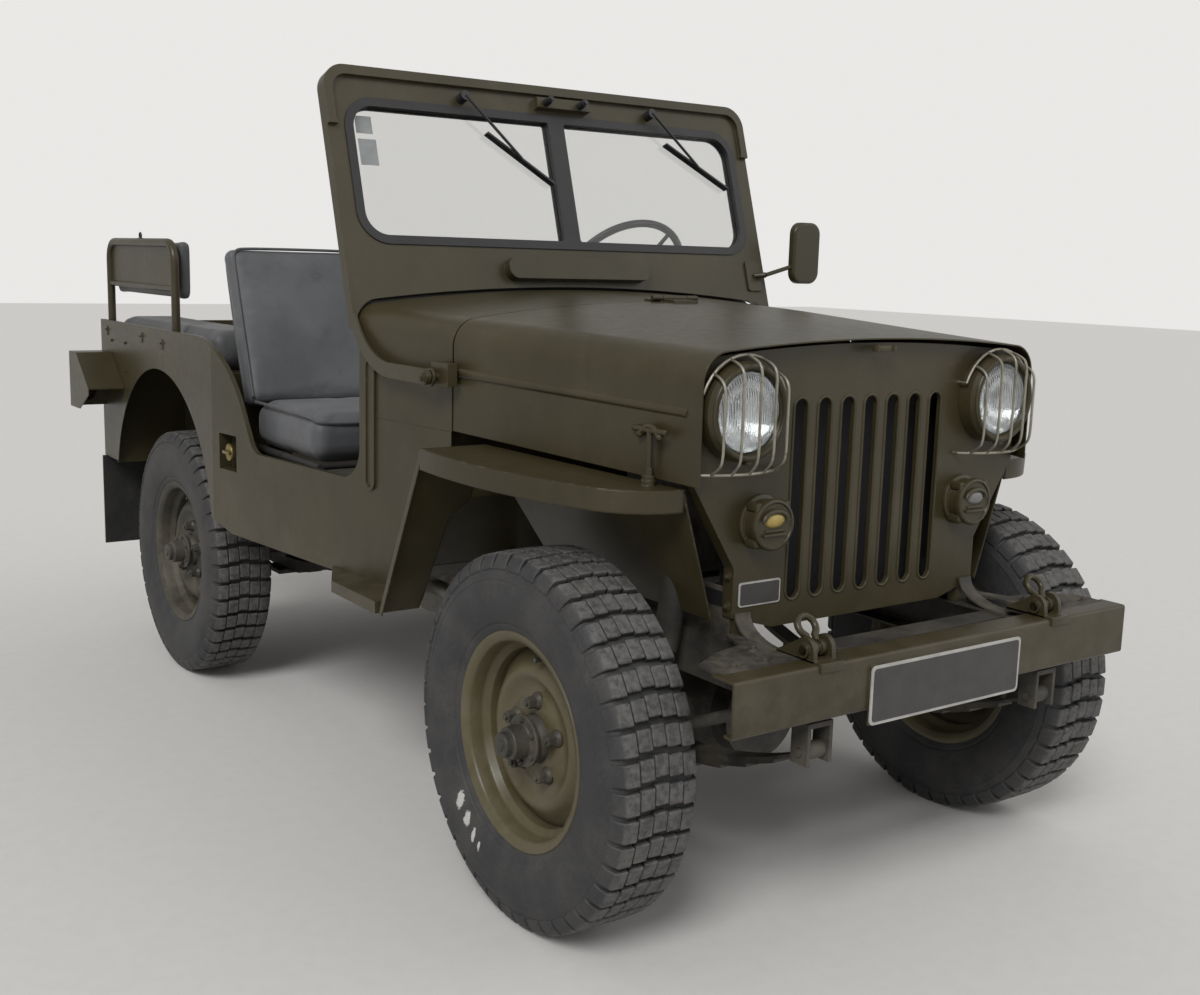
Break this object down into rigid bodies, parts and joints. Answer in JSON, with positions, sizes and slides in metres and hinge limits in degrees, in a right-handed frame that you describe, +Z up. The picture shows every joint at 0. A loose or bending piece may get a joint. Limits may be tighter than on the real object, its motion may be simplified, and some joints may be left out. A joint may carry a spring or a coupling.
{
  "type": "army 4x4 car",
  "caption": "Open army 4x4 car with flat wings, high hood, slotted grille, folding windscreen, two front seats and side benches; wheels, steering, hood, windscreen and tailgate move",
  "frame": {"origin": "on the ground, in the middle of the overall length and width", "axes": "+Z up, the front faces -Y, +X is the car's left"},
  "size_m": [1.7, 3.285, 1.7754],
  "materials": {
    "army_green": "semi-matt olive drab paint",
    "wheel_paint": "worn olive paint",
    "chassis_black": "dull black paint, dusty",
    "cast_metal": "as cast",
    "dull_steel": "dull, lightly rusted",
    "tyre": "dusty rubber",
    "black_rubber": "matt",
    "black_plastic": "satin",
    "lamp_glass": "ribbed",
    "window_glass": "clear",
    "mirror": "polished",
    "seat_fabric": "coated canvas"
  },
  "bodies": {
    "body": {"bench_back_pads": "seat_fabric", "bench_backs": "army_green", "bench_cushions": "seat_fabric", "chassis_frame": "chassis_black", "controls": "chassis_black", "cowl": "army_green", "dashboard": "army_green", "engine_block": "cast_metal", "exhaust": "dull_steel", "firewall": "army_green", "front_axle": "chassis_black", "front_bumper": "army_green", "front_wings": "army_green", "fuel_tank": "army_green", "gearbox_and_shafts": "cast_metal", "grille_panel": "army_green", "headlamp_lenses": "lamp_glass", "headlamps": "army_green", "lamp_guards": "dull_steel", "leaf_springs": "chassis_black", "marker_lamps": "army_green", "mudflaps": "black_rubber", "radiator": "chassis_black", "rear_axle": "chassis_black", "rear_lamp_boxes": "army_green", "rear_panel": "army_green", "seat_backs": "seat_fabric", "seat_cushions": "seat_fabric", "seat_frames": "army_green", "steering_column": "chassis_black", "steps": "army_green", "towing_hook": "dull_steel", "tub_floor": "army_green", "tub_side_left": "army_green", "tub_side_right": "army_green", "wheelhouses": "army_green"},
    "windscreen": {"mirror": "army_green", "mirror_glass": "mirror", "windscreen_frame": "army_green", "windscreen_gasket": "black_rubber", "windscreen_glass": "window_glass", "wipers": "black_plastic"},
    "hood": {"hood": "army_green"},
    "tailgate": {"tailgate": "army_green"},
    "knuckle_right": {"knuckle_front_right": "chassis_black"},
    "knuckle_left": {"knuckle_front_left": "chassis_black"},
    "tie_rod": {"tie_rod": "chassis_black"},
    "steering_wheel": {"steering_wheel": "black_plastic"},
    "wheel_front_right": {"wheel_front_right": "wheel_paint", "tyre_front_right": "tyre"},
    "wheel_front_left": {"wheel_front_left": "wheel_paint", "tyre_front_left": "tyre"},
    "wheel_rear_right": {"wheel_rear_right": "wheel_paint", "tyre_rear_right": "tyre"},
    "wheel_rear_left": {"wheel_rear_left": "wheel_paint", "tyre_rear_left": "tyre"}
  },
  "joints": [
    {"name": "spin_front_right", "type": "hinge", "parent": "knuckle_right", "child": "wheel_front_right", "pos_m": [-0.614, -1.144, 0.38], "axis": [-1, 0, 0], "continuous": true},
    {"name": "spin_front_left", "type": "hinge", "parent": "knuckle_left", "child": "wheel_front_left", "pos_m": [0.614, -1.144, 0.38], "axis": [-1, 0, 0], "continuous": true},
    {"name": "spin_rear_right", "type": "hinge", "parent": "body", "child": "wheel_rear_right", "pos_m": [-0.614, 0.888, 0.38], "axis": [-1, 0, 0], "continuous": true},
    {"name": "spin_rear_left", "type": "hinge", "parent": "body", "child": "wheel_rear_left", "pos_m": [0.614, 0.888, 0.38], "axis": [-1, 0, 0], "continuous": true},
    {"name": "steer_right", "type": "hinge", "parent": "body", "child": "knuckle_right", "pos_m": [-0.51, -1.144, 0.38], "axis": [0, 0, 1], "range_deg": [-25, 25]},
    {"name": "steer_left", "type": "hinge", "parent": "body", "child": "knuckle_left", "pos_m": [0.51, -1.144, 0.38], "axis": [0, 0, 1], "range_deg": [-25, 25]},
    {"name": "tie_rod_slide", "type": "slide", "parent": "body", "child": "tie_rod", "axis": [1, 0, 0], "range_m": [-0.066, 0.066]},
    {"name": "steering_wheel_turn", "type": "hinge", "parent": "body", "child": "steering_wheel", "pos_m": [0.355, -0.008, 1.265], "axis": [0, 0.8192, 0.5736], "range_deg": [-352, 352]},
    {"name": "hood_hinge", "type": "hinge", "parent": "body", "child": "hood", "pos_m": [0, -0.725, 1.24], "axis": [-1, 0, 0], "range_deg": [0, 110]},
    {"name": "windscreen_fold", "type": "hinge", "parent": "body", "child": "windscreen", "pos_m": [0, -0.718, 1.066], "axis": [-1, 0, 0], "range_deg": [-119, 0]},
    {"name": "tailgate_hinge", "type": "hinge", "parent": "body", "child": "tailgate", "pos_m": [0, 1.525, 0.632], "axis": [-1, 0, 0], "range_deg": [0, 90]}
  ],
  "couplings": [
    {"joint": "steer_left", "follows": "steer_right", "ratio": 1},
    {"joint": "tie_rod_slide", "follows": "steer_right", "m_per_rad": 0.15},
    {"joint": "steering_wheel_turn", "follows": "steer_right", "ratio": 14}
  ]
}
